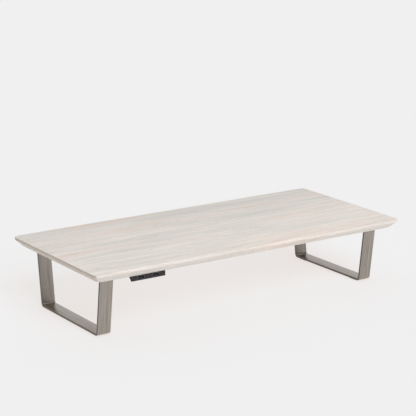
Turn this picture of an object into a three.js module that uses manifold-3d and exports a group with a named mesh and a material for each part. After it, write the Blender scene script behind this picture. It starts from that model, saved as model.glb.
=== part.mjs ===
// Monitor riser stand: a whitewashed wood shelf on two bent flat-bar legs, with a small USB hub under its
// front edge. Millimetres, +Z up. The origin is on the desk, under the middle of the shelf; +X runs along
// the long front edge, to the right as the user sees it, and +Y runs to the back.

import * as THREE from "three";
import { ConvexGeometry } from "three/addons/geometries/ConvexGeometry.js";
import { mergeVertices } from "three/addons/utils/BufferGeometryUtils.js";
import Module from "manifold-3d";

const wasm = await Module();
wasm.setup();

// ---------------------------------------------------------------- driving dimensions
const overallHeight = 118.2;
const fitGap = 0.3; // between pieces that touch

const board = {
  length: 616,
  depth: 279,
  thickness: 15.5,
  cornerRadius: 9.5,
  edgeBand: 4.5, // upright part of the edge, at the top
  chamferRun: 10.8, // how far the chamfer reaches in under the board
};
const underside = overallHeight - board.thickness;
const frontEdge = -board.depth / 2;

const bar = { width: 24.5, thickness: 3.5, bendRadius: 6.5 }; // bendRadius is on the outside
const leg = {
  inset: 27, // from the board's end to the bar's outer edge
  footHalfSpan: 93.8, // outer faces at the runner
  topHalfSpan: 106.6, // outer faces under the board
  flange: 46, // length turned in under the board
  screwSetbacks: [17, 36], // from the upright's outer face, along the flange
};

const pad = { length: 20, width: 20.5, thickness: 1, cornerRadius: 3, fromCentre: 73 };

const woodScrew = { headRadius: 3.8, headDepth: 2.2, shankRadius: 1.9, length: 14, recess: 1.5 };
const hubScrew = { headRadius: 2.6, headDepth: 1.4, shankRadius: 1.3, length: 10, recess: 0.9 };

const hub = {
  centreX: -205,
  faceSetback: 11.1, // from the board's front edge to the bezel's face
  bezelWidth: 63.5,
  bezelHeight: 8.8,
  bezelDepth: 11, // where it meets the board
  bezelLip: 1.2, // thickness at its lower edge
  bezelWall: 2.2, // from its face to the room behind it
  woodInFront: 4, // from the bezel's face to the pocket in the board
  width: 43,
  wall: 1.5,
  noseDepth: 17, // the deep front part, behind the ports
  noseDrop: 7.8, // below the underside
  length: 46,
  tailDrop: 5.9, // the shallow rear part, below the underside
  recess: 5.6, // how far the housing stands into the board
};
const port = {
  spread: 13.5, // from the hub's centre line to each port's
  drop: 4.1, // from the underside down to the port's centre line
  width: 13,
  height: 5.6,
  wall: 0.35,
  depth: 13.8,
  setback: 0.4, // from the bezel's face to the port's mouth
  tongue: { width: 11.1, thickness: 1.9, depth: 9, base: 3.4, rise: 0.5 },
};
// drop: from the board's underside down to the laminate's lower face
const circuit = { width: 38.4, length: 38, thickness: 1.2, drop: 0.7, fromFace: 6 };
const inlet = {
  width: 8.2,
  height: 3,
  wall: 0.3,
  depth: 7,
  setback: 0.4,
  tongue: { width: 6.4, thickness: 0.8, depth: 4.2, base: 1.6 },
};
const chip = { side: 7, thickness: 1.4, fromFace: 27.5 };
const crystal = { length: 8, width: 3.4, height: 2.2, x: -11, fromFace: 29 };
const capacitor = { radius: 2, height: 2.6, x: 11, fromFace: 29 };
const ear = { reach: 9, width: 9, thickness: 2.2, fromFace: 27 };

// ---------------------------------------------------------------- materials
function finish(color, roughness, metalness) {
  return new THREE.MeshStandardMaterial({ color, roughness, metalness });
}
const wood = finish("#dcd6cf", 0.55, 0);
const nickel = finish("#9b948c", 0.35, 1);
const rubber = finish("#3c3c3e", 0.9, 0);
const zincSteel = finish("#a9aaac", 0.35, 1);
const blackAbs = finish("#2b2b2e", 0.45, 0);
const tinPlate = finish("#b9bcbf", 0.3, 1);
const darkNylon = finish("#232326", 0.5, 0);
const greenLaminate = finish("#1f5a3a", 0.5, 0);
const moulding = finish("#1b1b1c", 0.6, 0);

// ---------------------------------------------------------------- solids
function solid(geometry) {
  const bare = geometry.index ? geometry.toNonIndexed() : geometry.clone();
  bare.deleteAttribute("normal");
  bare.deleteAttribute("uv");
  const merged = mergeVertices(bare, 1e-4);
  return new wasm.Manifold(
    new wasm.Mesh({
      numProp: 3,
      vertProperties: merged.attributes.position.array,
      triVerts: new Uint32Array(merged.index.array),
    }),
  );
}

function geometryOf(manifold) {
  const { vertProperties, triVerts } = manifold.getMesh();
  const geometry = new THREE.BufferGeometry();
  geometry.setAttribute("position", new THREE.BufferAttribute(new Float32Array(vertProperties), 3));
  geometry.setIndex(new THREE.BufferAttribute(new Uint32Array(triVerts), 1));
  return geometry;
}

// What is left of a geometry after others are cut from it.
function cut(geometry, tools) {
  const left = tools.reduce((body, tool) => body.subtract(solid(tool)), solid(geometry));
  return geometryOf(left);
}

function join(geometries) {
  return geometryOf(geometries.map(solid).reduce((whole, next) => whole.add(next)));
}

// A box from its low corner to its high corner.
function block([x0, y0, z0], [x1, y1, z1]) {
  const size = new THREE.Vector3(x1 - x0, y1 - y0, z1 - z0);
  return new THREE.BoxGeometry(...size).translate((x0 + x1) / 2, (y0 + y1) / 2, (z0 + z1) / 2);
}

function roundedRectangle(width, height, radius) {
  const [x, y] = [width / 2, height / 2];
  const outline = new THREE.Shape();
  outline.absarc(x - radius, y - radius, radius, 0, Math.PI / 2);
  outline.absarc(-x + radius, y - radius, radius, Math.PI / 2, Math.PI);
  outline.absarc(-x + radius, -y + radius, radius, Math.PI, Math.PI * 1.5);
  outline.absarc(x - radius, -y + radius, radius, Math.PI * 1.5, Math.PI * 2);
  return outline;
}

// A profile drawn in the YZ plane, extruded along X between x0 and x1.
function extrudeAcross(profile, x0, x1, curveSegments = 6) {
  const geometry = new THREE.ExtrudeGeometry(profile, { depth: x1 - x0, bevelEnabled: false, curveSegments });
  const upright = new THREE.Matrix4().makeBasis(
    new THREE.Vector3(0, 1, 0),
    new THREE.Vector3(0, 0, 1),
    new THREE.Vector3(1, 0, 0),
  );
  return geometry.applyMatrix4(upright).translate(x0, 0, 0);
}

function polygon(points) {
  return new THREE.Shape(points.map(([y, z]) => new THREE.Vector2(y, z)));
}

// A solid of revolution about +Z, from [radius, z] pairs that start and end on the axis.
function turned(profile, segments) {
  const points = profile.map(([r, z]) => new THREE.Vector2(r, z));
  return new THREE.LatheGeometry(points, segments).rotateX(Math.PI / 2);
}

// ---------------------------------------------------------------- the assembly
const stand = new THREE.Group();

function place(name, geometry, material, x = 0, y = 0, z = 0) {
  const mesh = new THREE.Mesh(geometry, material);
  mesh.name = name;
  mesh.position.set(x, y, z);
  stand.add(mesh);
}

// ---------------------------------------------------------------- screws
// A countersunk screw, its head's face at z = 0 and its point up.
function countersunkScrew(kind) {
  const tip = kind.shankRadius * 1.6;
  const body = turned(
    [
      [0, 0],
      [kind.headRadius, 0],
      [kind.headRadius, 0.3],
      [kind.shankRadius, kind.headDepth],
      [kind.shankRadius, kind.length - tip],
      [0, kind.length],
    ],
    16,
  );
  const arm = [kind.headRadius * 0.55, kind.headRadius * 0.13];
  const slots = [arm, [...arm].reverse()].map(([x, y]) => block([-x, -y, -1], [x, y, kind.recess]));
  return cut(body, slots);
}

// The hole that such a screw needs, countersunk from z = 0 and open at both ends.
function countersunkHole(kind, depth) {
  const [wideHead, wideShank] = [kind.headRadius + fitGap, kind.shankRadius + fitGap];
  return turned(
    [
      [0, -1],
      [wideHead, -1],
      [wideHead, 0.3],
      [wideShank, kind.headDepth + fitGap],
      [wideShank, depth],
      [0, depth],
    ],
    16,
  );
}

const flangeUnderside = underside - fitGap - bar.thickness;
const legCentreX = board.length / 2 - leg.inset - bar.width / 2;
const legScrewPlaces = [];
for (const [side, sideX] of [["left", -1], ["right", 1]]) {
  for (const [row, rowY] of [["front", -1], ["back", 1]]) {
    leg.screwSetbacks.forEach((setback, i) => {
      const order = i === 0 ? "outer" : "inner";
      const name = `${side}_leg_screw_${row}_${order}`;
      legScrewPlaces.push({ name, x: sideX * legCentreX, y: rowY * (leg.topHalfSpan - setback) });
    });
  }
}

const hubFace = frontEdge + hub.faceSetback;
const earCentreX = hub.width / 2 + ear.reach / 2;
const earCentreY = hubFace + ear.fromFace;
const earUnderside = underside - fitGap - ear.thickness;
const hubScrewPlaces = [["left", -1], ["right", 1]].map(([side, sign]) => ({
  name: `hub_screw_${side}`,
  x: hub.centreX + sign * earCentreX,
  y: earCentreY,
}));

// ---------------------------------------------------------------- riser board
// The board is convex, so it is the hull of its outline at the top, at the foot of the upright band and,
// drawn in by the chamfer, at the underside. Its corners keep one radius all the way down.
function riserBoard() {
  const outline = (inset, z) =>
    roundedRectangle(board.length - 2 * inset, board.depth - 2 * inset, board.cornerRadius)
      .getPoints(6)
      .map(({ x, y }) => new THREE.Vector3(x, y, z));
  const blank = new ConvexGeometry([
    ...outline(0, overallHeight),
    ...outline(0, overallHeight - board.edgeBand),
    ...outline(board.chamferRun, underside),
  ]);

  const pilots = [
    ...legScrewPlaces.map((at) => ({ ...at, kind: woodScrew, start: flangeUnderside })),
    ...hubScrewPlaces.map((at) => ({ ...at, kind: hubScrew, start: earUnderside })),
  ].map(({ x, y, kind, start }) => {
    const length = start + kind.length + fitGap - (underside - 1);
    const hole = new THREE.CylinderGeometry(kind.shankRadius + fitGap, kind.shankRadius + fitGap, length, 16);
    return hole.rotateX(Math.PI / 2).translate(x, y, underside - 1 + length / 2);
  });

  const pocketHalf = hub.width / 2 + 2 * fitGap;
  const pocket = block(
    [hub.centreX - pocketHalf, hubFace + hub.woodInFront - 2 * fitGap, underside - 1],
    [hub.centreX + pocketHalf, hubFace + hub.length + 2 * fitGap, underside + hub.recess + fitGap],
  );
  return cut(blank, [pocket, ...pilots]);
}
place("riser_board", riserBoard(), wood);

// ---------------------------------------------------------------- legs
// One flat bar bent round four corners. Each bend's inner and outer arcs share a centre.
function legProfile() {
  const bottom = pad.thickness + fitGap;
  const top = underside - fitGap;
  const lean = Math.atan2(leg.topHalfSpan - leg.footHalfSpan, top - bottom);
  const outer = bar.bendRadius;
  const inner = outer - bar.thickness;
  // Along the flat and up or down the leaning upright, a bend's centre is one outer radius in from each.
  const footCentre = leg.footHalfSpan - outer * Math.tan(Math.PI / 4 - lean / 2);
  const topCentre = leg.topHalfSpan - outer * Math.tan(Math.PI / 4 + lean / 2);
  const tip = leg.topHalfSpan - leg.flange;
  const bends = [
    { y: -topCentre, z: top - outer, from: Math.PI / 2, to: Math.PI + lean },
    { y: -footCentre, z: bottom + outer, from: Math.PI + lean, to: Math.PI * 1.5 },
    { y: footCentre, z: bottom + outer, from: Math.PI * 1.5, to: Math.PI * 2 - lean },
    { y: topCentre, z: top - outer, from: -lean, to: Math.PI / 2 },
  ];
  const profile = new THREE.Shape();
  profile.moveTo(-tip, top);
  for (const { y, z, from, to } of bends) profile.absarc(y, z, outer, from, to, false);
  profile.lineTo(tip, top);
  profile.lineTo(tip, top - bar.thickness);
  for (const { y, z, from, to } of bends.reverse()) profile.absarc(y, z, inner, to, from, true);
  profile.lineTo(-tip, top - bar.thickness);
  return profile;
}

for (const [side, sign] of [["left", -1], ["right", 1]]) {
  const x0 = sign * legCentreX - bar.width / 2;
  const bent = extrudeAcross(legProfile(), x0, x0 + bar.width);
  const holes = legScrewPlaces
    .filter((at) => Math.sign(at.x) === sign)
    .map((at) => countersunkHole(woodScrew, bar.thickness + 2).translate(at.x, at.y, flangeUnderside));
  place(`${side}_leg`, cut(bent, holes), nickel);
}
for (const { name, x, y } of legScrewPlaces) {
  place(name, countersunkScrew(woodScrew), zincSteel, x, y, flangeUnderside);
}

// ---------------------------------------------------------------- foot pads
const padOutline = roundedRectangle(pad.width, pad.length, pad.cornerRadius);
for (const [side, sideX] of [["left", -1], ["right", 1]]) {
  for (const [row, rowY] of [["front", -1], ["back", 1]]) {
    const slab = new THREE.ExtrudeGeometry(padOutline, {
      depth: pad.thickness,
      bevelEnabled: false,
      curveSegments: 4,
    });
    place(`${side}_foot_pad_${row}`, slab, rubber, sideX * legCentreX, rowY * pad.fromCentre, 0);
  }
}

// ---------------------------------------------------------------- hub
// The hub's pieces are drawn with x from its centre line, y back from its face and z up from the underside,
// so everything that hangs below the board has a negative z.
function placeInHub(name, geometry, material) {
  place(name, geometry, material, hub.centreX, hubFace, underside);
}

// A rectangular tube or blind box, open at its mouth, along Y.
function sleeve({ width, height, wall }, x, z, y0, y1) {
  const outer = block([x - width / 2, y0, z - height / 2], [x + width / 2, y1, z + height / 2]);
  const bore = block(
    [x - width / 2 + wall, y0 - 1, z - height / 2 + wall],
    [x + width / 2 - wall, y1 + 1, z + height / 2 - wall],
  );
  return cut(outer, [bore]);
}

function portOpening(x) {
  const [halfWidth, halfHeight] = [port.width / 2 + fitGap, port.height / 2 + fitGap];
  return block([x - halfWidth, -1, -port.drop - halfHeight], [x + halfWidth, 20, -port.drop + halfHeight]);
}
const portPlaces = [["left", -port.spread], ["right", port.spread]];

// The bezel: a wedge, upright in front and sloping back and up behind, right across the hub.
function hubBezel() {
  const profile = polygon([
    [0, -hub.bezelHeight],
    [hub.bezelLip, -hub.bezelHeight],
    [hub.bezelDepth, -hub.bezelLip - fitGap],
    [hub.bezelDepth, -fitGap],
    [0, -fitGap],
  ]);
  const wedge = extrudeAcross(profile, -hub.bezelWidth / 2, hub.bezelWidth / 2);
  const housingHalf = hub.width / 2 + fitGap;
  const housingRoom = block(
    [-housingHalf, hub.bezelWall, -hub.noseDrop - fitGap],
    [housingHalf, hub.bezelDepth + 1, 1],
  );
  return cut(wedge, [housingRoom, ...portPlaces.map(([, x]) => portOpening(x))]);
}
placeInHub("hub_bezel", hubBezel(), blackAbs);

// The housing's side view, below and above the split between its two shells, shrunk by a margin.
const noseStart = hub.bezelWall + fitGap;
const housingSplit = -0.2;
function lowerOutline(margin) {
  return polygon([
    [noseStart + margin, -hub.noseDrop + margin],
    [hub.noseDepth - margin, -hub.noseDrop + margin],
    [hub.noseDepth + 3 - margin, -hub.tailDrop + margin],
    [hub.length - margin, -hub.tailDrop + margin],
    [hub.length - margin, housingSplit + (margin > 0 ? 1 : 0)],
    [noseStart + margin, housingSplit + (margin > 0 ? 1 : 0)],
  ]);
}

function inletOpening() {
  const [halfWidth, halfHeight] = [inlet.width / 2 + fitGap, inlet.height / 2 + fitGap];
  const z = inletCentre();
  return block([-halfWidth, hub.length - 4, z - halfHeight], [halfWidth, hub.length + 1, z + halfHeight]);
}
function inletCentre() {
  return -circuit.drop - fitGap - inlet.height / 2;
}

function hubLowerShell() {
  const half = hub.width / 2;
  const tub = extrudeAcross(lowerOutline(0), -half, half);
  const inside = extrudeAcross(lowerOutline(hub.wall), -half + hub.wall, half - hub.wall);
  const earTop = -fitGap;
  const ears = [-1, 1].map((sign) => {
    const reach = half + ear.reach;
    const [x0, x1] = [Math.min(sign * reach, sign * (half - 1)), Math.max(sign * reach, sign * (half - 1))];
    const [y0, y1] = [ear.fromFace - ear.width / 2, ear.fromFace + ear.width / 2];
    return block([x0, y0, earTop - ear.thickness], [x1, y1, earTop]);
  });
  const screwHoles = [-1, 1].map((sign) =>
    countersunkHole(hubScrew, ear.thickness + 2).translate(
      sign * earCentreX,
      ear.fromFace,
      earTop - ear.thickness,
    ),
  );
  const openings = portPlaces.map(([, x]) => portOpening(x));
  return cut(join([tub, ...ears]), [inside, inletOpening(), ...screwHoles, ...openings]);
}
placeInHub("hub_lower_shell", hubLowerShell(), blackAbs);

function hubUpperShell() {
  const half = hub.width / 2;
  const low = housingSplit + fitGap;
  const cap = block([-half, hub.woodInFront, low], [half, hub.length, hub.recess]);
  const inside = block(
    [-half + hub.wall, hub.woodInFront + hub.wall, low - 1],
    [half - hub.wall, hub.length - hub.wall, hub.recess - hub.wall],
  );
  return cut(cap, [inside]);
}
placeInHub("hub_upper_shell", hubUpperShell(), blackAbs);

// ---------------------------------------------------------------- electronics
placeInHub(
  "hub_circuit_board",
  block(
    [-circuit.width / 2, circuit.fromFace, -circuit.drop],
    [circuit.width / 2, circuit.fromFace + circuit.length, -circuit.drop + circuit.thickness],
  ),
  greenLaminate,
);

// Each tongue lies in the lower half of its port, and its base closes the port behind.
for (const [side, x] of portPlaces) {
  const back = port.setback + port.depth;
  const { width, thickness, depth, base, rise } = port.tongue;
  const [inner, innerHalf] = [port.width, port.height].map((size) => size / 2 - port.wall - fitGap);
  const floor = -port.drop - innerHalf;
  const tongue = join([
    block(
      [x - width / 2, back - base - depth, floor + rise],
      [x + width / 2, back - base / 2, floor + rise + thickness],
    ),
    block([x - inner, back - base, floor], [x + inner, back, -port.drop + innerHalf]),
  ]);
  placeInHub(`port_shell_${side}`, sleeve(port, x, -port.drop, port.setback, back), tinPlate);
  placeInHub(`port_tongue_${side}`, tongue, darkNylon);
}

const inletZ = inletCentre();
const inletMouth = hub.length - inlet.setback;
const inletBack = inletMouth - inlet.depth;
placeInHub("inlet_shell", sleeve(inlet, 0, inletZ, inletBack, inletMouth), tinPlate);

function inletTongue() {
  const { width, thickness, depth, base } = inlet.tongue;
  const [inner, innerHalf] = [inlet.width, inlet.height].map((size) => size / 2 - inlet.wall - fitGap);
  return join([
    block([-inner, inletBack, inletZ - innerHalf], [inner, inletBack + base, inletZ + innerHalf]),
    block(
      [-width / 2, inletBack + base / 2, inletZ - thickness / 2],
      [width / 2, inletBack + base + depth, inletZ + thickness / 2],
    ),
  ]);
}
placeInHub("inlet_tongue", inletTongue(), darkNylon);

const laminateTop = -circuit.drop + circuit.thickness + fitGap;
function onLaminate(name, { x = 0, fromFace }, geometry, material) {
  placeInHub(name, geometry.translate(x, fromFace, laminateTop), material);
}
const chipBody = new THREE.BoxGeometry(chip.side, chip.side, chip.thickness);
chipBody.translate(0, 0, chip.thickness / 2);
onLaminate("hub_controller_chip", chip, chipBody, moulding);
// The can's ends are round, but for a short flat that keeps its outline's arcs apart.
const canOutline = roundedRectangle(crystal.length, crystal.width, crystal.width * 0.48);
const can = new THREE.ExtrudeGeometry(canOutline, {
  depth: crystal.height,
  bevelEnabled: false,
  curveSegments: 6,
});
onLaminate("hub_crystal_can", crystal, can, tinPlate);
const canister = new THREE.CylinderGeometry(capacitor.radius, capacitor.radius, capacitor.height, 20)
  .rotateX(Math.PI / 2)
  .translate(0, 0, capacitor.height / 2);
onLaminate("hub_smoothing_capacitor", capacitor, canister, tinPlate);

for (const { name, x, y } of hubScrewPlaces) {
  place(name, countersunkScrew(hubScrew), zincSteel, x, y, earUnderside);
}

export default stand;
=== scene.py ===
# %% [markdown]
# # A monitor riser stand
#
# The real object is a low shelf of whitewashed wood on two legs, each bent from one brushed
# nickel flat bar, with a small black USB hub let in under the front edge. The engineering model
# is loaded as a fixed frame. Each cell below makes one piece of the stand around that frame with
# the tools that a modeller has in Edit Mode, or mixes one finish.

# %% Load the frame
import math

import bpy
from mathutils import Matrix, Vector


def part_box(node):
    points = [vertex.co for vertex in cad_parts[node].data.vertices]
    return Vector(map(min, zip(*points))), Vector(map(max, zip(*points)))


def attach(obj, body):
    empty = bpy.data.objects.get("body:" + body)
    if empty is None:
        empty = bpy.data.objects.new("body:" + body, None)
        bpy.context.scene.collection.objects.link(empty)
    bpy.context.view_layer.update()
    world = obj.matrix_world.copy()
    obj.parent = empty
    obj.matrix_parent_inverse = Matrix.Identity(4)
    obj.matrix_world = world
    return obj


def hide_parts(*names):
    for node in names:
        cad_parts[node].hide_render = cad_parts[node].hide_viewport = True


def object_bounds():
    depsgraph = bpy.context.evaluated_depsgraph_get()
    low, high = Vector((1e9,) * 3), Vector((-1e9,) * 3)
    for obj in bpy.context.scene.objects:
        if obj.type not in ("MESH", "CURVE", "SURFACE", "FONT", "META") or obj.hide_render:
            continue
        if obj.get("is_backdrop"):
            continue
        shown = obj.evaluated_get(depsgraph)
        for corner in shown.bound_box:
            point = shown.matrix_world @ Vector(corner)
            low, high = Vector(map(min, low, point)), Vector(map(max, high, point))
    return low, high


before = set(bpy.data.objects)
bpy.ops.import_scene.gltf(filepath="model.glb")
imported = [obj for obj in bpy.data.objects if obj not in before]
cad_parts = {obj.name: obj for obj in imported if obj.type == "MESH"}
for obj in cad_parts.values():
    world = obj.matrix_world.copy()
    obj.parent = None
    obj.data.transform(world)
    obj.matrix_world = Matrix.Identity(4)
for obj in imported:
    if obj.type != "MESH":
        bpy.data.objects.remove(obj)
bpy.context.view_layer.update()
MM = 0.001

# %% [markdown]
# ## Camera
#
# A camera far away with a long lens keeps the shelf's long edges nearly parallel. It stands to the
# left of the stand and a little above it, turned 34 degrees to the right. The whole stand sits in
# the lower half of the view, because on the desk there would be a display standing on it.

# %% Place the camera
CAMERA_PLACE = (-1.4344, -2.1221, 0.8133)
TURN, DIP = math.radians(33.97), math.radians(14.46)

camera_data = bpy.data.cameras.new("camera")
camera_data.sensor_width = 36
camera_data.lens = 133.2
camera = bpy.data.objects.new("camera", camera_data)
bpy.context.scene.collection.objects.link(camera)
heading = Matrix.Rotation(-TURN, 4, "Z") @ Matrix.Rotation(math.pi / 2 - DIP, 4, "X")
camera.matrix_world = Matrix.Translation(CAMERA_PLACE) @ heading
bpy.context.scene.camera = camera
print("the camera is", round(Vector(CAMERA_PLACE).length, 2), "m from the stand")

# %% [markdown]
# ## Colour and shader helpers
#
# Colours are written as sRGB hex values, as a paint chart gives them, and turned to the linear
# values that the renderer wants. One function adds any shader node, sets it up and wires it. A
# pattern's scale is worked out from its real size.


# %% Colours and nodes
def colour(hex_value):
    channels = [int(hex_value[i : i + 2], 16) / 255 for i in (1, 3, 5)]
    linear = [c / 12.92 if c <= 0.04045 else ((c + 0.055) / 1.055) ** 2.4 for c in channels]
    return (*linear, 1)


def add(tree, kind, inputs=None, **settings):
    """One shader node. An input is a value, or another node's output socket to link from."""
    node = tree.nodes.new("ShaderNode" + kind)
    for name, value in settings.items():
        setattr(node, name, value)
    for name, value in (inputs or {}).items():
        if isinstance(value, bpy.types.NodeSocket):
            tree.links.new(value, node.inputs[name])
        else:
            node.inputs[name].default_value = value
    return node


def new_material(name):
    """An empty material with its tree, its output and its Object coordinates."""
    material = bpy.data.materials.new(name)
    material.use_nodes = True
    tree = material.node_tree
    tree.nodes.clear()
    output = tree.nodes.new("ShaderNodeOutputMaterial")
    place = add(tree, "TexCoord").outputs["Object"]
    return material, tree, output, place


def per_mm(*sizes):
    """The scale that gives a pattern its real sizes along X, Y and Z, in millimetres."""
    return [1 / (size * MM) for size in sizes]


# %% [markdown]
# ## Floor and light
#
# The stand is shown on a plain pale sweep. The sweep glows a little, like a light table, so that
# it stays even and shadows on it are faint. The glow is warm and the paper itself cool, which is
# white where both meet and leaves the shadows slightly warm, as under a wooden shelf.
#
# A broad low sun from the front makes the front edge the brightest part of the wood. The room is
# bright behind and overhead, and dark in front, as in a studio. Metal shows the room more than its
# own colour, so the runners come out light and the uprights that look forward come out dark.

# %% Floor
bpy.ops.object.select_all(action="DESELECT")
bpy.ops.mesh.primitive_circle_add(vertices=96, radius=14, fill_type="NGON")
floor = bpy.context.object
floor.name = "floor"
paper, tree, output, place = new_material("pale_paper_sweep")
lit = add(tree, "BsdfDiffuse", {"Color": colour("#708994")})
glow = add(tree, "Emission", {"Color": colour("#FFF1EA"), "Strength": 0.723})
both = add(tree, "AddShader", {0: lit.outputs[0], 1: glow.outputs[0]})
tree.links.new(both.outputs[0], output.inputs["Surface"])
floor.data.materials.append(paper)
floor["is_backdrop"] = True

# %% Light
scene = bpy.context.scene
scene.view_settings.view_transform = "Standard"
scene.world = bpy.data.worlds.new("studio")
scene.world.use_nodes = True
tree = scene.world.node_tree
direction = add(tree, "TexCoord").outputs["Generated"]
BRIGHT_SIDE = (0.15, 0.99, 0)
towards = add(tree, "VectorMath", {0: direction, 1: BRIGHT_SIDE},
              operation="DOT_PRODUCT").outputs["Value"]
around = add(tree, "MapRange", {"Value": towards, "From Min": -0.5, "From Max": 0.7, "To Min": 0.03,
                                "To Max": 0.8}, interpolation_type="SMOOTHSTEP").outputs[0]
height = add(tree, "SeparateXYZ", {0: direction}).outputs["Z"]
overhead = add(tree, "MapRange", {"Value": height, "From Min": 0.45, "From Max": 0.95},
               interpolation_type="SMOOTHSTEP").outputs[0]
room = add(tree, "Mix", {"Factor": overhead, "A": around, "B": 0.75}).outputs[0]
tree.links.new(room, tree.nodes["Background"].inputs["Strength"])
tree.nodes["Background"].inputs["Color"].default_value = (1, 1, 1, 1)

sun_data = bpy.data.lights.new("front_light", "SUN")
sun_data.energy = 2.05
sun_data.angle = math.radians(40)
sun = bpy.data.objects.new("front_light", sun_data)
scene.collection.objects.link(sun)
TO_LIGHT = Vector((-0.12, -0.85, 0.6))
sun.rotation_euler = TO_LIGHT.to_track_quat("Z", "Y").to_euler()

# %% [markdown]
# ## Modelling helpers
#
# Edit Mode operators act on what is selected, so each step first selects faces or edges by their
# place or their direction. A helper applies modifiers, and another signs a piece off: it puts the
# piece's place into its mesh, smooths it, checks that it is closed and hides the frame's parts that it
# replaces.


# %% Selecting and shaping
def deselect():
    if bpy.context.object and bpy.context.object.mode != "OBJECT":
        bpy.ops.object.mode_set(mode="OBJECT")
    bpy.ops.object.select_all(action="DESELECT")


def block(name, low, high):
    """A box between two corners, in millimetres, selected and active."""
    deselect()
    low, high = Vector(low) * MM, Vector(high) * MM
    bpy.ops.mesh.primitive_cube_add(size=1, location=(low + high) / 2)
    piece = bpy.context.object
    piece.name = name
    piece.scale = high - low
    bpy.ops.object.transform_apply(location=True, rotation=True, scale=True)
    return piece


def select(piece, kind, wanted):
    """Selects the vertices, edges or faces that a test on their place accepts. Millimetres."""
    bpy.context.view_layer.objects.active = piece
    bpy.ops.object.mode_set(mode="EDIT")
    bpy.ops.mesh.select_mode(type=kind)
    bpy.ops.mesh.select_all(action="DESELECT")
    bpy.ops.object.mode_set(mode="OBJECT")
    mesh = piece.data
    points = [v.co / MM for v in mesh.vertices]
    parts = {"VERT": mesh.vertices, "EDGE": mesh.edges, "FACE": mesh.polygons}[kind]
    count = 0
    for part in parts:
        corners = [points[part.index]] if kind == "VERT" else [points[i] for i in part.vertices]
        part.select = wanted(corners, part)
        count += part.select
    bpy.ops.object.mode_set(mode="EDIT")
    return count


def along(axis):
    """A test for edges that run along one axis."""
    return lambda corners, edge: abs((corners[1] - corners[0]).normalized()[axis]) > 0.999


def facing(axis, sign):
    """A test for faces that look along one axis."""
    return lambda corners, face: face.normal[axis] * sign > 0.999


def level(axis, value, tolerance=0.01):
    """A test for parts that lie wholly at one height along an axis."""
    return lambda corners, part: all(abs(c[axis] - value) < tolerance for c in corners)


def bevel(width, segments):
    bpy.ops.mesh.bevel(offset=width * MM, segments=segments, affect="EDGES")


def pull(x=0.0, y=0.0, z=0.0):
    """Extrudes what is selected and moves the new end, in millimetres."""
    bpy.ops.mesh.extrude_region_move(TRANSFORM_OT_translate={"value": Vector((x, y, z)) * MM})


def shift(x=0.0, y=0.0, z=0.0):
    bpy.ops.transform.translate(value=Vector((x, y, z)) * MM)


def shrink(factor_x, factor_y, factor_z, about):
    bpy.ops.transform.resize(value=(factor_x, factor_y, factor_z), center_override=Vector(about) * MM)


def modify(piece, kind, **settings):
    """Adds a modifier, sets it and applies it."""
    deselect()
    piece.select_set(True)
    bpy.context.view_layer.objects.active = piece
    modifier = piece.modifiers.new(kind.lower(), kind)
    for name, value in settings.items():
        setattr(modifier, name, value)
    bpy.ops.object.modifier_apply(modifier=modifier.name)


def slab(name, low, high, corner, segments=8):
    """A block whose upright edges are rounded."""
    piece = block(name, low, high)
    select(piece, "EDGE", along(2))
    bevel(corner, segments)
    bpy.ops.object.mode_set(mode="OBJECT")
    return piece


def rod(name, centre, radius, z_low, z_high, sides=24):
    """An upright round bar, in millimetres."""
    deselect()
    middle = Vector((centre[0], centre[1], (z_low + z_high) / 2)) * MM
    bpy.ops.mesh.primitive_cylinder_add(vertices=sides, radius=radius * MM, depth=(z_high - z_low) * MM,
                                        location=middle)
    piece = bpy.context.object
    piece.name = name
    bpy.ops.object.transform_apply(location=True, rotation=True, scale=True)
    return piece


def soften(piece, width, segments=3, above=35):
    """Rounds every edge sharper than an angle."""
    modify(piece, "BEVEL", width=width * MM, segments=segments, limit_method="ANGLE",
           angle_limit=math.radians(above), use_clamp_overlap=True)


def merge(pieces):
    deselect()
    for piece in pieces:
        piece.select_set(True)
    bpy.context.view_layer.objects.active = pieces[0]
    if len(pieces) > 1:
        bpy.ops.object.join()
    return pieces[0]


# A cutter reaches this far past the face that it cuts, so that no thin skin is left.
PAST = 1


def carve(piece, cutters, operation="DIFFERENCE"):
    """Cuts other solids out of a piece, or joins them to it, and throws them away."""
    tool = merge(cutters)
    modify(piece, "BOOLEAN", operation=operation, object=tool, solver="EXACT", use_self=True)
    bpy.data.objects.remove(tool)


def copy_at(piece, name, offset):
    """A copy with a mesh of its own, moved by an offset in millimetres inside that mesh."""
    twin = piece.copy()
    twin.data = piece.data.copy()
    twin.name = name
    twin.data.transform(Matrix.Translation(Vector(offset) * MM))
    bpy.context.scene.collection.objects.link(twin)
    return twin


def complete(piece, material, replaces=(), smooth=30):
    """Signs a piece off: clean, smooth, coloured, and riding on the stand's one body."""
    deselect()
    piece.select_set(True)
    bpy.context.view_layer.objects.active = piece
    bpy.ops.object.transform_apply(location=True, rotation=True, scale=True)
    bpy.ops.object.mode_set(mode="EDIT")
    bpy.ops.mesh.select_mode(type="VERT")
    bpy.ops.mesh.select_all(action="SELECT")
    bpy.ops.mesh.remove_doubles(threshold=0.00001)
    bpy.ops.mesh.normals_make_consistent(inside=False)
    bpy.ops.mesh.select_all(action="DESELECT")
    bpy.ops.mesh.select_non_manifold()
    bpy.ops.object.mode_set(mode="OBJECT")
    open_places = sum(v.select for v in piece.data.vertices)
    bpy.ops.object.shade_smooth_by_angle(angle=math.radians(smooth))
    piece.data.materials.clear()
    piece.data.materials.append(material)
    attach(piece, "root")
    if replaces:
        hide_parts(*replaces)
    print(piece.name, "has", len(piece.data.polygons), "faces and", open_places, "open places")


def box_mm(node):
    low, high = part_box(node)
    return low / MM, high / MM
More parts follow.
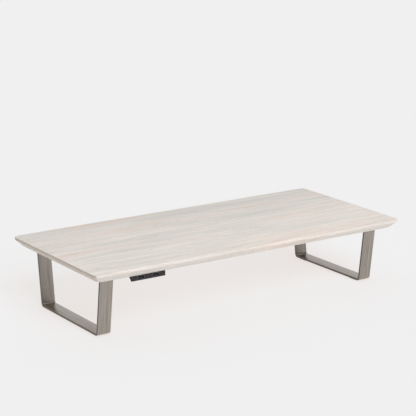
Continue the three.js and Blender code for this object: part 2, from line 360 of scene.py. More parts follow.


# %% [markdown]
# ## Whitewashed wood
#
# The shelf is a pale hardwood board under a thin white wash and a matt lacquer. The wash fills the
# pores, so the eye sees long, soft bands along the board, some warm and some a cool grey, with
# fine growth lines inside them. Noise stretched along X gives both, at a band width of about
# 45 mm, a figure of about 11 mm and growth lines about 1.8 mm apart. The colour is painted a little
# darker towards the back, as painted shade where the front light falls off. End grain drinks more
# of the wash and dries darker; both ends also carry painted shade, more on the upright band.

# %% Wander and patterns of the wood
wood, tree, output, place = new_material("whitewashed_wood")
WANDER = 45
scaled = add(tree, "Mapping", {"Vector": place, "Scale": per_mm(450, 90, 90)}).outputs[0]
wander = add(tree, "TexNoise", {"Vector": scaled, "Scale": 1.0, "Detail": 1.0}).outputs["Color"]
centred = add(tree, "VectorMath", {0: wander, 1: (0.5, 0.5, 0.5)}, operation="SUBTRACT").outputs[0]
drift = add(tree, "VectorMath", {0: centred, 1: (0, WANDER * MM, WANDER * MM)},
            operation="MULTIPLY").outputs[0]
grain_place = add(tree, "VectorMath", {0: place, 1: drift}, operation="ADD").outputs[0]

# Each pattern's size along X, Y and Z in millimetres, and its detail.
PATTERNS = {"bands": ((340, 42, 42), 2.0), "figure": ((240, 10, 10), 2.0),
            "lines": ((200, 1.8, 1.8), 4.0), "pores": ((9, 0.45, 0.45), 1.0),
            "rings": ((4, 14, 1.6), 2.0)}
pattern = {}
for name, (size, detail) in PATTERNS.items():
    scaled = add(tree, "Mapping", {"Vector": grain_place, "Scale": per_mm(*size)}).outputs[0]
    pattern[name] = add(tree, "TexNoise", {"Vector": scaled, "Scale": 1.0, "Detail": detail,
                                           "Roughness": 0.55}).outputs["Fac"]

# %% Colour of the long grain
bands = add(tree, "ValToRGB", {"Fac": pattern["bands"]})
ramp = bands.color_ramp
ramp.elements[0].position, ramp.elements[0].color = 0.34, colour("#E1DCD5")
ramp.elements[1].position, ramp.elements[1].color = 0.66, colour("#EDDFD5")
ramp.elements.new(0.5).color = colour("#ECE6DF")

tones = {}
for name, darkest, lightest in (("figure", 0.92, 1.06), ("lines", 0.9, 1.07), ("rings", 0.93, 1.04)):
    tones[name] = add(tree, "MapRange", {"Value": pattern[name], "From Min": 0.3, "From Max": 0.7,
                                         "To Min": darkest, "To Max": lightest}).outputs[0]
tone = add(tree, "Math", {0: tones["figure"], 1: tones["lines"]}, operation="MULTIPLY").outputs[0]
toned = add(tree, "Mix", {"Factor": 1.0, 6: bands.outputs["Color"], 7: tone}, data_type="RGBA",
            blend_type="MULTIPLY").outputs[2]
pores = add(tree, "MapRange", {"Value": pattern["pores"], "From Min": 0.62,
                               "From Max": 0.74}).outputs[0]
washed = add(tree, "Mix", {"Factor": pores, 6: toned, 7: colour("#C6B9AC")},
             data_type="RGBA").outputs[2]
# Painted shade: the colour darkens by up to 12 percent from the front edge to the back, standing for the
# front light falling off.
FRONT, BACK = -110, 130
position = add(tree, "SeparateXYZ", {0: place}).outputs
painted_falloff = add(tree, "MapRange", {"Value": position["Y"], "From Min": FRONT * MM, "From Max": BACK * MM,
                              "To Min": 1.0, "To Max": 0.88}).outputs[0]
with_painted_falloff = add(tree, "Mix", {"Factor": 1.0, 6: washed, 7: painted_falloff}, data_type="RGBA",
             blend_type="MULTIPLY").outputs[2]

# %% [markdown]
# The end grain lies on the upright band and the chamfer of both ends, from one mitre to the other.
# Three tests on Object coordinates find it: beyond the mitre, beyond the flat underside, and below
# the top face. Multiplied together, they are a mask for the darker end colour, which is partly
# painted shade. Each test blends over 1 mm, so that no edge looks cut out.

# %% Colour of the end grain and shader
MITRE, UNDERSIDE_END, TOP_FACE, BAND_FOOT = 168.5, 297.5, 117.5, 113.7
reach_x = add(tree, "Math", {0: position["X"]}, operation="ABSOLUTE").outputs[0]
reach_y = add(tree, "Math", {0: position["Y"]}, operation="ABSOLUTE").outputs[0]
past_mitre = add(tree, "Math", {0: reach_x, 1: reach_y}, operation="SUBTRACT").outputs[0]
steps = {}
for name, value, place_mm, below, above in (("mitre", past_mitre, MITRE, 0, 1),
                                            ("end", reach_x, UNDERSIDE_END, 0, 1),
                                            ("top", position["Z"], TOP_FACE, 1, 0),
                                            ("band", position["Z"], BAND_FOOT, 0, 1)):
    steps[name] = add(tree, "MapRange", {"Value": value, "From Min": (place_mm - 0.5) * MM,
                                         "From Max": (place_mm + 0.5) * MM, "To Min": below,
                                         "To Max": above}).outputs[0]
end_grain_and_shade = add(tree, "Math", {0: steps["mitre"], 1: steps["end"]}, operation="MULTIPLY").outputs[0]
end_grain_and_shade = add(tree, "Math", {0: end_grain_and_shade, 1: steps["top"]}, operation="MULTIPLY").outputs[0]
# Both end colours are darker than the long grain, partly because end grain drinks more wash and partly
# as painted shade; the upright band is painted darker than the chamfer below it, also as painted shade.
ends = add(tree, "Mix", {"Factor": steps["band"], 6: colour("#D6CCC1"), 7: colour("#C4B8AD")},
           data_type="RGBA").outputs[2]
ringed = add(tree, "Mix", {"Factor": 1.0, 6: ends, 7: tones["rings"]}, data_type="RGBA",
             blend_type="MULTIPLY").outputs[2]
finished = add(tree, "Mix", {"Factor": end_grain_and_shade, 6: with_painted_falloff, 7: ringed}, data_type="RGBA").outputs[2]

relief = add(tree, "Math", {0: pattern["lines"], 1: pores}, operation="SUBTRACT").outputs[0]
bump = add(tree, "Bump", {"Height": relief, "Strength": 0.25, "Distance": 0.1 * MM}).outputs[0]
sheen = add(tree, "MapRange", {"Value": pattern["lines"], "To Min": 0.5, "To Max": 0.66}).outputs[0]
surface = add(tree, "BsdfPrincipled", {"Base Color": finished, "Roughness": sheen, "Normal": bump,
                                       "IOR": 1.48})
tree.links.new(surface.outputs[0], output.inputs["Surface"])
print("the wood's finish has", len(tree.nodes), "nodes")

# %% [markdown]
# ## Brushed nickel
#
# The legs are steel flat bar, brushed with an abrasive belt along the bar and nickel plated. The
# belt leaves fine lines that run the bar's length, so they vary only across its width, along X.
# Real lines are about 0.1 mm apart; they are drawn 1.1 mm apart so that they show. A mask by
# distance from the bar's middle paints the bar's side edges darker: painted shade, standing for the
# dark reflection of the shadowed floor beside the bar.

# %% Nickel finish
BAR_MIDDLE, BAR_HALF = 268.75, 12.25
nickel, tree, output, place = new_material("brushed_nickel")
scaled = add(tree, "Mapping", {"Vector": place, "Scale": per_mm(1.1, 90, 90)}).outputs[0]
scratches = add(tree, "TexNoise", {"Vector": scaled, "Scale": 1.0, "Detail": 3.0,
                                   "Roughness": 0.7}).outputs["Fac"]
scaled = add(tree, "Mapping", {"Vector": place, "Scale": per_mm(12, 30, 30)}).outputs[0]
smudges = add(tree, "TexNoise", {"Vector": scaled, "Scale": 1.0, "Detail": 2.0}).outputs["Fac"]
tint = add(tree, "ValToRGB", {"Fac": scratches})
ramp = tint.color_ramp
ramp.elements[0].position, ramp.elements[0].color = 0.3, colour("#867E76")
ramp.elements[1].position, ramp.elements[1].color = 0.7, colour("#BAB3AB")

# %% Painted shade on the bar's edges, and shader
# Painted shade: the bar's side edges get a dark #655F59 that stands for the dark reflection of the
# shadowed floor beside the bar.
sideways = add(tree, "SeparateXYZ", {0: place}).outputs["X"]
reach = add(tree, "Math", {0: sideways}, operation="ABSOLUTE").outputs[0]
off_middle = add(tree, "Math", {0: reach, 1: BAR_MIDDLE * MM}, operation="SUBTRACT").outputs[0]
from_middle = add(tree, "Math", {0: off_middle}, operation="ABSOLUTE").outputs[0]
painted_edge_shade = add(tree, "MapRange", {"Value": from_middle, "From Min": (BAR_HALF - 0.35) * MM,
                                     "From Max": (BAR_HALF - 0.05) * MM}).outputs[0]
skin = add(tree, "Mix", {"Factor": painted_edge_shade, 6: tint.outputs["Color"], 7: colour("#655F59")},
           data_type="RGBA").outputs[2]

rough = add(tree, "MapRange", {"Value": scratches, "From Min": 0.3, "From Max": 0.7, "To Min": 0.19,
                               "To Max": 0.3}).outputs[0]
uneven = add(tree, "Math", {0: smudges, 1: 0.08, 2: rough}, operation="MULTIPLY_ADD").outputs[0]
bump = add(tree, "Bump", {"Height": scratches, "Strength": 0.12, "Distance": 0.05 * MM}).outputs[0]
surface = add(tree, "BsdfPrincipled", {"Base Color": skin, "Metallic": 1.0, "Roughness": uneven,
                                       "Normal": bump})
tree.links.new(surface.outputs[0], output.inputs["Surface"])

# %% [markdown]
# ## Small finishes
#
# The other finishes fall into two families. Moulded or laminated stuff has a fine grain in its skin
# and faint cloudy patches where it was handled. Plated sheet metal has a mottle from the plating
# bath and hair lines from the press. One function for each family takes the real sizes.


# %% Moulded and plated finishes
def moulded(name, dark, light, grain_mm, patch_mm, roughness, relief_mm, ior):
    material, tree, output, place = new_material(name)
    noise = {}
    for pattern_name, size in (("grain", grain_mm), ("patches", patch_mm)):
        scaled = add(tree, "Mapping", {"Vector": place, "Scale": per_mm(size, size, size)}).outputs[0]
        noise[pattern_name] = add(tree, "TexNoise", {"Vector": scaled, "Scale": 1.0,
                                                     "Detail": 2.0}).outputs["Fac"]
    shade = add(tree, "ValToRGB", {"Fac": noise["patches"]})
    ramp = shade.color_ramp
    ramp.elements[0].position, ramp.elements[0].color = 0.3, colour(dark)
    ramp.elements[1].position, ramp.elements[1].color = 0.7, colour(light)
    rough = add(tree, "MapRange", {"Value": noise["patches"], "To Min": roughness - 0.08,
                                   "To Max": roughness + 0.08}).outputs[0]
    bump = add(tree, "Bump", {"Height": noise["grain"], "Strength": 0.3,
                              "Distance": relief_mm * MM}).outputs[0]
    surface = add(tree, "BsdfPrincipled", {"Base Color": shade.outputs["Color"], "Roughness": rough,
                                           "Normal": bump, "IOR": ior})
    tree.links.new(surface.outputs[0], output.inputs["Surface"])
    return material


def plated(name, dark, light, mottle_mm, roughness):
    material, tree, output, place = new_material(name)
    scaled = add(tree, "Mapping", {"Vector": place, "Scale": per_mm(mottle_mm, mottle_mm, mottle_mm)})
    mottle = add(tree, "TexNoise", {"Vector": scaled.outputs[0], "Scale": 1.0,
                                    "Detail": 3.0}).outputs["Fac"]
    scaled = add(tree, "Mapping", {"Vector": place, "Scale": per_mm(0.15, 3, 0.15)})
    hair = add(tree, "TexNoise", {"Vector": scaled.outputs[0], "Scale": 1.0}).outputs["Fac"]
    shade = add(tree, "ValToRGB", {"Fac": mottle})
    ramp = shade.color_ramp
    ramp.elements[0].position, ramp.elements[0].color = 0.35, colour(dark)
    ramp.elements[1].position, ramp.elements[1].color = 0.65, colour(light)
    rough = add(tree, "MapRange", {"Value": mottle, "To Min": roughness - 0.1,
                                   "To Max": roughness + 0.1}).outputs[0]
    bump = add(tree, "Bump", {"Height": hair, "Strength": 0.15, "Distance": 0.02 * MM}).outputs[0]
    surface = add(tree, "BsdfPrincipled", {"Base Color": shade.outputs["Color"], "Metallic": 1.0,
                                           "Roughness": rough, "Normal": bump})
    tree.links.new(surface.outputs[0], output.inputs["Surface"])
    return material


# Spark-eroded ABS, with a grain of about 0.3 mm; the hub's dark plum grey.
abs_black = moulded("black_abs", "#201A1E", "#272024", 0.35, 14, 0.5, 0.04, 1.5)
# Pressed rubber sheet, dusty and dull.
rubber = moulded("foot_rubber", "#2C2B2C", "#3A3939", 0.5, 6, 0.85, 0.06, 1.52)
# Glass-filled nylon inside the ports.
nylon = moulded("dark_nylon", "#1B1B1E", "#26262A", 0.25, 4, 0.5, 0.02, 1.53)
# Solder mask over the weave of a glass laminate, 0.5 mm between threads.
laminate = moulded("green_laminate", "#1B4F33", "#25654A", 0.5, 5, 0.35, 0.02, 1.55)
# Epoxy moulding compound, matt from its silica filler.
epoxy = moulded("chip_moulding", "#1A1A1B", "#242425", 0.15, 3, 0.65, 0.02, 1.57)
# Zinc plated steel with a pale blue passivation.
zinc = plated("zinc_screws", "#9EA1A6", "#B9BBBE", 1.2, 0.38)
# Matt tin over phosphor bronze.
tin = plated("tin_plate", "#85878A", "#9C9DA0", 2.5, 0.34)

# %% [markdown]
# ## Riser board
#
# On the real board, the corners are rounded with a jig and a wide chamfer is routed under the edge,
# so that the shelf looks thin. The same order works in Edit Mode: a slab as thick as the upright
# edge band gets round corners, its lower face is extruded down, and each corner of that face is
# then moved in. So the corners keep one radius all the way down, as a router following a jig leaves
# them. Scaling the face would have squashed the corner arcs.

# %% Shape the board
EDGE_BAND, CHAMFER_RUN, CORNER = 4.5, 10.8, 9.5
low, high = box_mm("riser_board")
underside, top = low.z, high.z
board = slab("riser_board_piece", (low.x, low.y, top - EDGE_BAND), high, CORNER, segments=12)
select(board, "FACE", facing(2, -1))
pull(z=underside - (top - EDGE_BAND))
for side in (-1, 1):
    for end in (-1, 1):
        select(board, "VERT", lambda corners, v: abs(corners[0].z - underside) < 0.01
               and corners[0].x * side > 0 and corners[0].y * end > 0)
        shift(x=-side * CHAMFER_RUN, y=-end * CHAMFER_RUN)
for height, radius in ((top, 1.0), (top - EDGE_BAND, 0.7), (underside, 0.9)):
    select(board, "EDGE", level(2, height))
    bevel(radius, 4)
bpy.ops.object.mode_set(mode="OBJECT")
print("the chamfer rises", round(top - EDGE_BAND - underside, 1), "mm over", CHAMFER_RUN, "mm")

# %% [markdown]
# The hub's housing stands in a pocket milled into the underside, and each screw has a pilot hole.
# Both are cut with one Boolean, from blocks and rods placed by the frame's own hub and screws.

# %% Mill the pocket and drill the pilot holes
ROOM, THREAD_ROOM, DEPTH_ROOM = 0.6, 0.3, 0.3
cap_low, cap_high = box_mm("hub_upper_shell")
cutters = [block("pocket", (cap_low.x - ROOM, cap_low.y - ROOM, underside - PAST),
                 (cap_high.x + ROOM, cap_high.y + ROOM, cap_high.z + DEPTH_ROOM))]
screw_nodes = sorted(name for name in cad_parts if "screw" in name)
for name in screw_nodes:
    screw_low, screw_high = box_mm(name)
    centre = (screw_low + screw_high) / 2
    shank = (screw_high.x - screw_low.x) / 4
    cutters.append(rod("pilot", centre, shank + THREAD_ROOM, underside - PAST,
                       screw_high.z + DEPTH_ROOM))
carve(board, cutters)
complete(board, wood, ["riser_board"])

# %% [markdown]
# ## Legs
#
# Each leg is one flat bar, bent round four corners. A bar bender works from the middle outwards, and
# so does this: the bar's section starts at the middle of the runner, is extruded to the first bend,
# spun round it, extruded up the leaning side, spun round the second bend and extruded along the
# flange. A Mirror modifier then gives the other half. A curve with a bevel would round the bends
# too, but it would not keep them true arcs with flats between. Spin turns clockwise as seen along
# its axis, so the axis here points to -X.

# %% Bend the bar
BAR, BEND, FOOT_HALF, TOP_HALF, FLANGE = 3.5, 6.5, 93.8, 106.6, 46
low, high = box_mm("left_leg")
lean = math.atan2(TOP_HALF - FOOT_HALF, high.z - low.z)
foot_bend = Vector((0, FOOT_HALF - BEND * math.tan(math.pi / 4 - lean / 2), low.z + BEND))
top_bend = Vector((0, TOP_HALF - BEND * math.tan(math.pi / 4 + lean / 2), high.z - BEND))


def bend(angle, centre):
    bpy.ops.mesh.spin(steps=14, angle=angle, center=centre * MM, axis=(-1, 0, 0))


deselect()
bpy.ops.mesh.primitive_plane_add(size=1, rotation=(math.pi / 2, 0, 0))
leg = bpy.context.object
leg.name = "left_leg_piece"
leg.scale = ((high.x - low.x) * MM, BAR * MM, 1)
leg.location = Vector(((low.x + high.x) / 2, 0, low.z + BAR / 2)) * MM
bpy.ops.object.transform_apply(location=True, rotation=True, scale=True)
bpy.ops.object.mode_set(mode="EDIT")
bpy.ops.mesh.select_all(action="SELECT")
pull(y=foot_bend.y)
bend(math.pi / 2 - lean, foot_bend)
pull(*(top_bend - foot_bend))
bend(math.pi / 2 + lean, top_bend)
pull(y=TOP_HALF - FLANGE - top_bend.y)
print("the sides lean", round(math.degrees(lean), 1), "degrees")

# %% Mirror it, round it and drill it
select(leg, "EDGE", lambda corners, edge: all(abs(c.y - (TOP_HALF - FLANGE)) < 0.01 for c in corners)
       and abs(corners[0].x - corners[1].x) < 0.01)
bevel(4, 6)
select(leg, "FACE", level(1, 0))
bpy.ops.mesh.delete(type="FACE")
bpy.ops.object.mode_set(mode="OBJECT")
modify(leg, "MIRROR", use_axis=(False, True, False), merge_threshold=0.00001)
bpy.ops.object.mode_set(mode="EDIT")
bpy.ops.mesh.select_all(action="SELECT")
bpy.ops.mesh.normals_make_consistent(inside=False)
bpy.ops.object.mode_set(mode="OBJECT")
soften(leg, 0.4, 3)


HEAD_ROOM, HEAD, SHANK, HEAD_DEPTH, LAND = 0.3, 3.8, 1.9, 2.2, 0.3


def countersink(centre, z_face, head, shank, depth):
    """The cutter for a countersunk hole that opens downwards."""
    tool = rod("countersink", centre, head, z_face - PAST, z_face + LAND, sides=32)
    select(tool, "FACE", facing(2, 1))
    pull(z=depth)
    shrink(shank / head, shank / head, 1, (centre[0], centre[1], 0))
    pull(z=6)
    bpy.ops.object.mode_set(mode="OBJECT")
    return tool


leg_screws = [name for name in screw_nodes if name.startswith("left_leg_screw")]
holes = []
for name in leg_screws:
    screw_low, screw_high = box_mm(name)
    centre = (screw_low + screw_high) / 2
    holes.append(countersink(centre, screw_low.z, HEAD + HEAD_ROOM, SHANK + HEAD_ROOM,
                             HEAD_DEPTH - LAND + HEAD_ROOM))
carve(leg, holes)
other = box_mm("right_leg")[0].x - low.x
other_leg = copy_at(leg, "right_leg_piece", (other, 0, 0))
complete(leg, nickel, ["left_leg"])
complete(other_leg, nickel, ["right_leg"])

# %% [markdown]
# ## Screws
#
# Eight countersunk wood screws hold the legs and two smaller ones hold the hub. One is modelled for
# each size: a disc for the head's face, extruded up and narrowed to the shank, then extruded ring
# by ring. The thread is made by moving each ring's points in and out by their angle and height, which
# winds one ridge up the shank. A tapered cross is cut into the head.


# %% One screw of each size
def screw(name, node, pitch):
    low, high = box_mm(node)
    centre = (low + high) / 2
    head, length = (high.x - low.x) / 2, high.z - low.z
    shank, root, sides = head / 2, head / 2 * 0.72, 20
    head_depth, tip = head * 0.58, head * 0.8
    deselect()
    bpy.ops.mesh.primitive_circle_add(vertices=sides, radius=head * MM, fill_type="NGON",
                                      location=Vector((centre.x, centre.y, low.z)) * MM)
    piece = bpy.context.object
    piece.name = name
    bpy.ops.object.transform_apply(location=True, rotation=True, scale=True)
    bpy.ops.object.mode_set(mode="EDIT")
    bpy.ops.mesh.select_all(action="SELECT")
    axis = (centre.x, centre.y, 0)
    pull(z=LAND)
    pull(z=head_depth - LAND)
    shrink(root / head, root / head, 1, axis)
    rings = round((length - head_depth - tip) / (pitch / 5))
    for _ in range(rings):
        pull(z=(length - head_depth - tip) / rings)
    pull(z=tip)
    shrink(0.12, 0.12, 1, axis)
    bpy.ops.object.mode_set(mode="OBJECT")
    for vertex in piece.data.vertices:
        place = vertex.co / MM - Vector((centre.x, centre.y, low.z))
        if head_depth + 0.1 < place.z < length - tip / 2:
            turn = math.atan2(place.y, place.x) / (2 * math.pi)
            ridge = max(0, 1 - abs((place.z / pitch - turn) % 1 - 0.5) / 0.3)
            radius = root + (shank - root) * ridge
            flat = Vector((place.x, place.y, 0)).normalized() * radius
            vertex.co = Vector((centre.x + flat.x, centre.y + flat.y, low.z + place.z)) * MM
    arm, blade, depth = head * 0.55, head * 0.14, head * 0.4
    cross = []
    for along_x, along_y in ((arm, blade), (blade, arm)):
        bar = block("cross", (centre.x - along_x, centre.y - along_y, low.z - 0.5),
                    (centre.x + along_x, centre.y + along_y, low.z + depth))
        select(bar, "FACE", facing(2, 1))
        shrink(0.55, 0.55, 1, axis)
        bpy.ops.object.mode_set(mode="OBJECT")
        cross.append(bar)
    carve(piece, cross)
    return piece


def place_screws(piece, node, others):
    start = box_mm(node)[0]
    for other in others:
        twin = copy_at(piece, other + "_piece", box_mm(other)[0] - start)
        complete(twin, zinc, [other])
    complete(piece, zinc, [node])


first, *others = [name for name in screw_nodes if "leg_screw" in name]
place_screws(screw(first + "_piece", first, pitch=1.8), first, others)
first, *others = [name for name in screw_nodes if name.startswith("hub_screw")]
place_screws(screw(first + "_piece", first, pitch=1.1), first, others)

# %% [markdown]
# ## Foot pads
#
# Thin pads of pressed rubber keep the bar off the desk. Each is a rounded slab whose lower face is
# inset and pushed up a little, which leaves the rim that a moulded pad stands on.

# %% Press the pads
low, high = box_mm("left_foot_pad_front")
pad = slab("left_foot_pad_front_piece", low, high, 3)
select(pad, "FACE", facing(2, -1))
bpy.ops.mesh.inset(thickness=1.6 * MM, depth=0)
bpy.ops.mesh.inset(thickness=0.3 * MM, depth=-0.3 * MM)
bpy.ops.object.mode_set(mode="OBJECT")
soften(pad, 0.15, 2)
for node in ("left_foot_pad_back", "right_foot_pad_front", "right_foot_pad_back"):
    complete(copy_at(pad, node + "_piece", box_mm(node)[0] - low), rubber, [node])
complete(pad, rubber, ["left_foot_pad_front"])

# %% [markdown]
# ## Hub bezel
#
# The bezel is the one part of the hub that the user sees: a black wedge, upright in front, with two
# USB openings. A block with its back planed off by Bisect gives the wedge. The openings are cut with
# rounded cutters that flare at the mouth, which leaves the lead-in that guides a plug.

# %% Shape the bezel
BEZEL_LIP, BEZEL_WALL, HOUSING_HALF, NOSE_DROP, GAP = 1.2, 2.2, 21.5, 7.8, 0.3
bezel_low, bezel_high = box_mm("hub_bezel")
hub_x = (bezel_low.x + bezel_high.x) / 2
bezel = block("hub_bezel_piece", bezel_low, bezel_high)
lower_edge = Vector((0, bezel_low.y + BEZEL_LIP, bezel_low.z))
slope = Vector((0, bezel_high.y, bezel_high.z - BEZEL_LIP)) - lower_edge
bpy.ops.object.mode_set(mode="EDIT")
bpy.ops.mesh.select_all(action="SELECT")
bpy.ops.mesh.bisect(plane_co=lower_edge * MM, plane_no=(0, slope.z, -slope.y), use_fill=True,
                    clear_outer=True)
bpy.ops.object.mode_set(mode="OBJECT")
soften(bezel, 0.45, 3)


def port_cutter(node, gap=GAP, flare=0.0):
    """A rounded bar through a port's opening, wider at the mouth where it flares."""
    low, high = box_mm(node)
    mouth = bezel_low.y + flare
    tool = block("opening", (low.x - gap, mouth, low.z - gap), (high.x + gap, mouth + 20, high.z + gap))
    select(tool, "EDGE", along(1))
    bevel(0.8, 4)
    if flare:
        centre = (low + high) / 2
        select(tool, "FACE", facing(1, -1))
        pull(y=-2 * flare)
        wide, tall = high.x - low.x + 2 * gap, high.z - low.z + 2 * gap
        shrink((wide + 4 * flare) / wide, 1, (tall + 4 * flare) / tall, centre)
    bpy.ops.object.mode_set(mode="OBJECT")
    return tool


PORTS = ("port_shell_left", "port_shell_right")
room = block("room", (hub_x - HOUSING_HALF - GAP, bezel_low.y + BEZEL_WALL, underside - NOSE_DROP - GAP),
             (hub_x + HOUSING_HALF + GAP, bezel_high.y + PAST, underside + PAST))
carve(bezel, [room])
for node in PORTS:
    carve(bezel, [port_cutter(node, flare=0.25)])
complete(bezel, abs_black, ["hub_bezel"])

# %% [markdown]
# ## Hub housing
#
# Behind the bezel, the housing is two shells: a lower tub with a deep nose for the ports and a shallow
# tail, and a flat cap that stands in the board's pocket. Screws go through an ear on each side of the
# tub. The tub is extruded backwards in three steps, and the same function with a margin makes the
# room inside it, so that the walls come out even.

# %% Mould the lower shell
NOSE_DEPTH, STEP, TAIL_DROP, WALL, SPLIT = 17, 3, 5.9, 1.5, 0.2
shell_back = box_mm("hub_lower_shell")[1].y
nose_start = bezel_low.y + BEZEL_WALL + GAP


def tub(name, margin):
    half, floor = HOUSING_HALF - margin, underside - NOSE_DROP + margin
    rim = underside - SPLIT + (PAST if margin else 0)
    nose_end, back = bezel_low.y + NOSE_DEPTH - margin, shell_back - margin
    piece = block(name, (hub_x - half, nose_start + margin, floor), (hub_x + half, nose_end, rim))
    select(piece, "FACE", facing(1, 1))
    pull(y=STEP)
    select(piece, "EDGE", lambda corners, edge: level(1, nose_end + STEP)(corners, edge)
           and level(2, floor)(corners, edge))
    shift(z=NOSE_DROP - TAIL_DROP)
    select(piece, "FACE", lambda corners, face: level(1, nose_end + STEP)(corners, face))
    pull(y=back - nose_end - STEP)
    bpy.ops.object.mode_set(mode="OBJECT")
    return piece


lower = tub("hub_lower_shell_piece", 0)
soften(lower, 0.8, 4)
EAR_REACH, EAR_WIDTH, EAR = 9, 9, 2.2
first_screw, second_screw = box_mm("hub_screw_left"), box_mm("hub_screw_right")
ears, holes = [], []
for sign, (screw_low, screw_high) in ((-1, first_screw), (1, second_screw)):
    centre = (screw_low + screw_high) / 2
    ends = sorted((hub_x + sign * (HOUSING_HALF - 1), hub_x + sign * (HOUSING_HALF + EAR_REACH)))
    ear = block("ear", (ends[0], centre.y - EAR_WIDTH / 2, screw_low.z),
                (ends[1], centre.y + EAR_WIDTH / 2, screw_low.z + EAR))
    select(ear, "EDGE", lambda corners, edge: along(2)(corners, edge)
           and (corners[0].x - hub_x) * sign > HOUSING_HALF + 1)
    bevel(3.5, 8)
    bpy.ops.object.mode_set(mode="OBJECT")
    soften(ear, 0.3, 2)
    ears.append(ear)
    head = (screw_high.x - screw_low.x) / 2
    holes.append(countersink(centre, screw_low.z, head + HEAD_ROOM, head / 2 + HEAD_ROOM, head * 0.54))
carve(lower, ears, "UNION")
inlet_low, inlet_high = box_mm("inlet_shell")
inlet_hole = block("inlet_hole", (inlet_low.x - GAP, inlet_high.y - 4, inlet_low.z - GAP),
                   (inlet_high.x + GAP, inlet_high.y + 3, inlet_high.z + GAP))
carve(lower, [tub("inside", WALL)])
for tool in (*holes, inlet_hole, *(port_cutter(node) for node in PORTS)):
    carve(lower, [tool])
complete(lower, abs_black, ["hub_lower_shell"])

# %% Mould the cap
cap = block("hub_upper_shell_piece", cap_low, cap_high)
soften(cap, 0.6, 4)
inside = block("inside", (cap_low.x + WALL, cap_low.y + WALL, cap_low.z - PAST),
               (cap_high.x - WALL, cap_high.y - WALL, cap_high.z - WALL))
soften(inside, 0.4, 3)
carve(cap, [inside])
complete(cap, abs_black, ["hub_upper_shell"])

# %% [markdown]
# ## Ports and inlet
#
# A USB receptacle is a sleeve folded from tinned sheet, with spring fingers pressed out of it, round a
# plastic tongue. The sleeve is a block with rounded edges whose ends are deleted and whose skin gets
# the sheet's thickness from a Solidify modifier. Slots beside each finger are cut afterwards.


# %% Fold the sleeves
FINGER_PLACE, FINGER_HALF, SLOT_HALF = 3, 1.3, 0.2
CROSS_SLOT, SIDE_SLOT = (1.6, 2.1), (2, 8)


def sleeve(name, node, sheet, corner):
    low, high = box_mm(node)
    piece = block(name, low, high)
    select(piece, "EDGE", along(1))
    bevel(corner, 5)
    select(piece, "FACE", lambda corners, face: abs(face.normal[1]) > 0.999)
    bpy.ops.mesh.delete(type="FACE")
    bpy.ops.object.mode_set(mode="OBJECT")
    modify(piece, "SOLIDIFY", thickness=sheet * MM, offset=-1, use_even_offset=True)
    return piece


def finger_slots(node):
    """Cutters for the U-shaped slots round two spring fingers, through top and bottom."""
    low, high = box_mm(node)
    centre = (low + high) / 2
    tools = []
    for finger in (centre.x - FINGER_PLACE, centre.x + FINGER_PLACE):
        slots = [(finger + side - SLOT_HALF, finger + side + SLOT_HALF, SIDE_SLOT)
                 for side in (-FINGER_HALF, FINGER_HALF)]
        reach = FINGER_HALF + SLOT_HALF
        slots.append((finger - reach, finger + reach, CROSS_SLOT))
        for x_low, x_high, (start, end) in slots:
            tools.append(block("slot", (x_low, low.y + start, low.z - PAST),
                               (x_high, low.y + end, high.z + PAST)))
    return tools


for node in PORTS:
    shell = sleeve(node + "_piece", node, 0.35, 0.6)
    carve(shell, finger_slots(node))
    complete(shell, tin, [node])
complete(sleeve("inlet_shell_piece", "inlet_shell", 0.3, 0.9), tin, ["inlet_shell"])

# %% [markdown]
# Each tongue is a thin blade standing on a thick base. The blade is a rounded block of its own,
# joined to the base by a Boolean union, as one moulding.


# %% Mould the tongues
def tongue(node, base, blade_low, blade_high, towards):
    """A base with a blade on the face that looks towards -Y or +Y. Blade sides are given in X and Z."""
    low, high = box_mm(node)
    y_base = high.y - base if towards < 0 else low.y + base
    ends = sorted((y_base, high.y if towards < 0 else low.y))
    piece = block(node + "_piece", (low.x, ends[0], low.z), (high.x, ends[1], high.z))
    soften(piece, 0.2, 2)
    reach = low.y if towards < 0 else high.y
    blade_ends = sorted((reach, y_base - towards * base / 2))
    blade = block("blade", (blade_low[0], blade_ends[0], blade_low[1]),
                  (blade_high[0], blade_ends[1], blade_high[1]))
    soften(blade, 0.25, 3)
    carve(piece, [blade], "UNION")
    complete(piece, nylon, [node])


PORT_BASE, PORT_BLADE_HALF, BLADE_FOOT, BLADE_TOP = 3.4, 5.55, 0.5, 2.4
for node in ("port_tongue_left", "port_tongue_right"):
    low, high = box_mm(node)
    middle = (low.x + high.x) / 2
    tongue(node, PORT_BASE, (middle - PORT_BLADE_HALF, low.z + BLADE_FOOT),
           (middle + PORT_BLADE_HALF, low.z + BLADE_TOP), towards=-1)

INLET_BASE, INLET_BLADE_HALF, INLET_BLADE_THICK_HALF = 1.6, 3.2, 0.4
low, high = box_mm("inlet_tongue")
middle, level_z = (low.x + high.x) / 2, (low.z + high.z) / 2
tongue("inlet_tongue", INLET_BASE, (middle - INLET_BLADE_HALF, level_z - INLET_BLADE_THICK_HALF),
       (middle + INLET_BLADE_HALF, level_z + INLET_BLADE_THICK_HALF), towards=1)

# %% [markdown]
# ## Electronics
#
# A small circuit board runs the length of the housing. The controller chip has a row of gull-wing
# leads on each side: one lead is extruded in four steps, an Array modifier repeats it along the side
# and the row is turned round the chip. The crystal's can is drawn from a flanged oval, and the
# capacitor's can is narrowed where it is crimped on its seal.

# %% Circuit board and chip
low, high = box_mm("hub_circuit_board")
panel = slab("hub_circuit_board_piece", low, high, 1, segments=4)
soften(panel, 0.12, 2)
complete(panel, laminate, ["hub_circuit_board"])

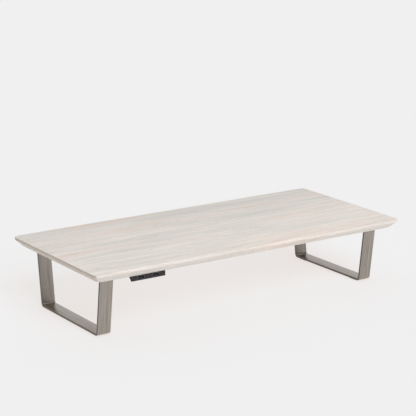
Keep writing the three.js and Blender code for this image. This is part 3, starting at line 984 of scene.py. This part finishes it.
BODY_INSET, LEADS, PITCH, LEAD, SHEET, LEAD_FOOT = 0.9, 8, 0.65, 0.25, 0.15, 0.45
low, high = box_mm("hub_controller_chip")
centre = (low + high) / 2
chip = block("hub_controller_chip_piece", (low.x + BODY_INSET, low.y + BODY_INSET, low.z + 0.1),
             (high.x - BODY_INSET, high.y - BODY_INSET, high.z))
soften(chip, 0.15, 2)
carve(chip, [rod("pin_one_mark", (low.x + 1.7, low.y + 1.7), 0.35, high.z - 0.1, high.z + 1)])
complete(chip, epoxy, ["hub_controller_chip"])

first_y = centre.y - (LEADS - 1) / 2 * PITCH - LEAD / 2
lead = block("hub_controller_chip_leads", (low.x, first_y, low.z),
             (low.x + LEAD_FOOT, first_y + LEAD, low.z + SHEET))
select(lead, "FACE", facing(0, 1))
for run, rise in ((0.08, 0.04), (0.12, 0.4), (0.08, 0.04), (0.3, 0)):
    pull(x=run, z=rise)
bpy.ops.object.mode_set(mode="OBJECT")
modify(lead, "ARRAY", count=LEADS, use_relative_offset=False, use_constant_offset=True,
       constant_offset_displace=(0, PITCH * MM, 0))
rows = [lead]
pivot = Matrix.Translation(centre * MM)
for quarter in (1, 2, 3):
    row = copy_at(lead, "row", (0, 0, 0))
    row.data.transform(pivot @ Matrix.Rotation(quarter * math.pi / 2, 4, "Z") @ pivot.inverted())
    rows.append(row)
complete(merge(rows), tin)

# %% Crystal and capacitor
FLANGE_HEIGHT, FLANGE_RIM = 0.45, 0.35
low, high = box_mm("hub_crystal_can")
can = slab("hub_crystal_can_piece", low, (high.x, high.y, low.z + FLANGE_HEIGHT), 1.65, segments=10)
select(can, "FACE", facing(2, 1))
bpy.ops.mesh.inset(thickness=FLANGE_RIM * MM, depth=0)
pull(z=high.z - low.z - FLANGE_HEIGHT)
bpy.ops.object.mode_set(mode="OBJECT")
soften(can, 0.18, 3)
complete(can, tin, ["hub_crystal_can"])

SEAT, PLAY, CRIMP_START, NECK = 0.35, 0.05, 0.7, 0.88
CRIMP = ((0.12, NECK), (0.1, 1), (0.12, 1 / NECK))
low, high = box_mm("hub_smoothing_capacitor")
centre = (low + high) / 2
can = rod("hub_smoothing_capacitor_piece", centre, (high.x - low.x) / 2 - PLAY, low.z + SEAT - PLAY,
          low.z + CRIMP_START, sides=32)
wall = high.z - low.z - CRIMP_START - sum(rise for rise, widen in CRIMP)
select(can, "FACE", facing(2, 1))
for rise, widen in (*CRIMP, (wall, 1)):
    pull(z=rise)
    shrink(widen, widen, 1, centre)
bpy.ops.object.mode_set(mode="OBJECT")
soften(can, 0.1, 2)
seat = slab("seat", low, (high.x, high.y, low.z + SEAT), 0.4, segments=3)
carve(can, [seat], "UNION")
complete(can, tin, ["hub_smoothing_capacitor"])

low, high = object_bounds()
print("the finished stand measures", [round(side / MM, 1) for side in high - low], "mm")
